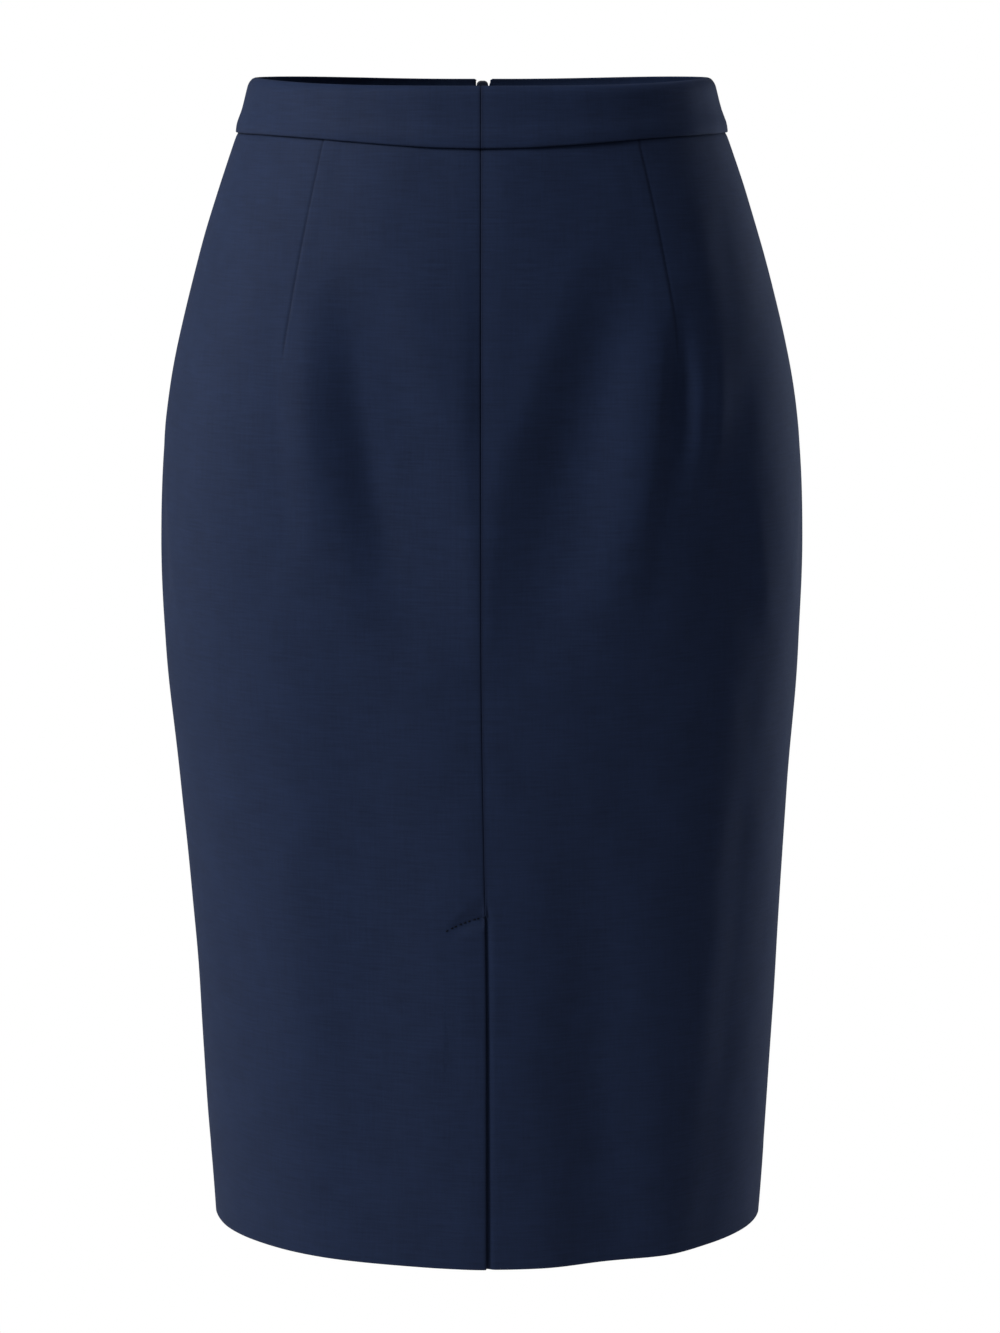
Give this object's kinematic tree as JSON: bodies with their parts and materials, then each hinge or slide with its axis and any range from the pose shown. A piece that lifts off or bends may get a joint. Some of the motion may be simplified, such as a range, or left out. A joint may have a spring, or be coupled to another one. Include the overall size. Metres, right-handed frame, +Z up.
{
  "type": "pencil skirt",
  "caption": "Knee-length pencil skirt, filled out and hollow, with a waistband, darts, centre-front seam, lapped front vent and concealed back zip.",
  "frame": {"origin": "the middle of the waist opening, level with the waistband's top edge at the side seams, where the wearer's waist holds the skirt", "axes": "+Z up along the body, -Y the way the wearer faces, +X the wearer's left"},
  "size_m": [0.3446, 0.2473, 0.617],
  "materials": {
    "suiting": "smooth fine-weave navy suiting, matt",
    "waistband": "the same suiting, doubled and stiffened",
    "zip_tape": "close woven dark navy tape",
    "zip_metal": "dark navy lacquer"
  },
  "bodies": {
    "skirt": {"front_right_panel": "suiting", "front_left_panel": "suiting", "back_right_panel": "suiting", "back_left_panel": "suiting", "waistband_right": "waistband", "waistband_left": "waistband", "zip_tape_right": "zip_tape", "zip_tape_left": "zip_tape", "zip_slider": "zip_metal"},
    "zip_pull": {"zip_pull": "zip_metal"}
  },
  "joints": [
    {"name": "zip_pull_swing", "type": "hinge", "parent": "skirt", "child": "zip_pull", "pos_m": [0, 0.10091, -0.00833], "axis": [1, 0, 0], "range_deg": [0, 150]}
  ]
}
